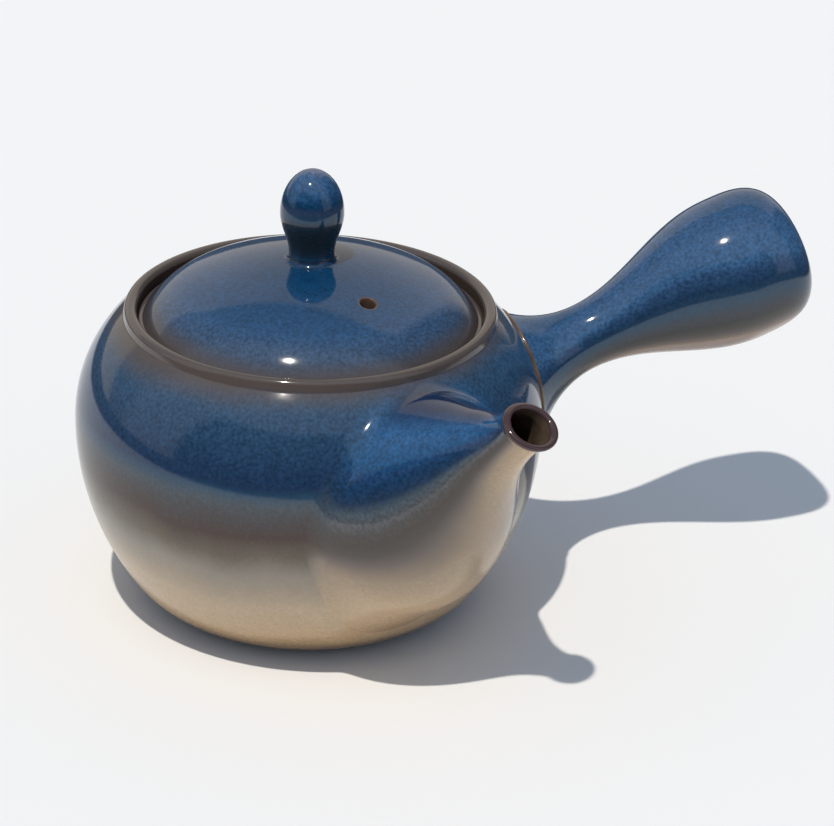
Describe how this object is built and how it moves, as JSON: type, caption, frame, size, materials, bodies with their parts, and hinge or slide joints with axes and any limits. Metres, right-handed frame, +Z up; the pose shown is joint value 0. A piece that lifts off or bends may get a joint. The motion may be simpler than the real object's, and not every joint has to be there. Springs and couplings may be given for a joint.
{
  "type": "side-handled teapot",
  "caption": "Round side-handled teapot with a broad bell spout, hollow handle, inset domed lid with knob and steam hole, and a pierced strainer inside, for brewing and pouring tea.",
  "frame": {"origin": "centre of the flat base, on the axis of the pot", "axes": "+Z up along the axis of the pot, +X along the handle; the spout lies 71 degrees clockwise from the handle seen from above"},
  "size_m": [0.1799, 0.1374, 0.1071],
  "materials": {
    "body_glaze": "gloss, speckled blue shading to cream",
    "spout_glaze": "gloss, blue on top and cream below",
    "handle_glaze": "gloss, blue on top and brown-grey below",
    "lid_glaze": "gloss, speckled blue",
    "slip": "gloss, brown where the glaze is thin",
    "bare_clay": "matte fired clay"
  },
  "bodies": {
    "pot": {"body": "body_glaze", "spout": "spout_glaze", "spout_lute": "slip", "strainer": "bare_clay", "strainer_lute": "bare_clay", "handle": "handle_glaze", "handle_lute": "slip"},
    "lid": {"lid": "lid_glaze", "lid_knob": "lid_glaze", "knob_lute": "lid_glaze"}
  },
  "joints": [
    {"name": "lid_lift", "type": "slide", "parent": "pot", "child": "lid", "axis": [0, 0, 1], "range_m": [0, 0.04]}
  ]
}
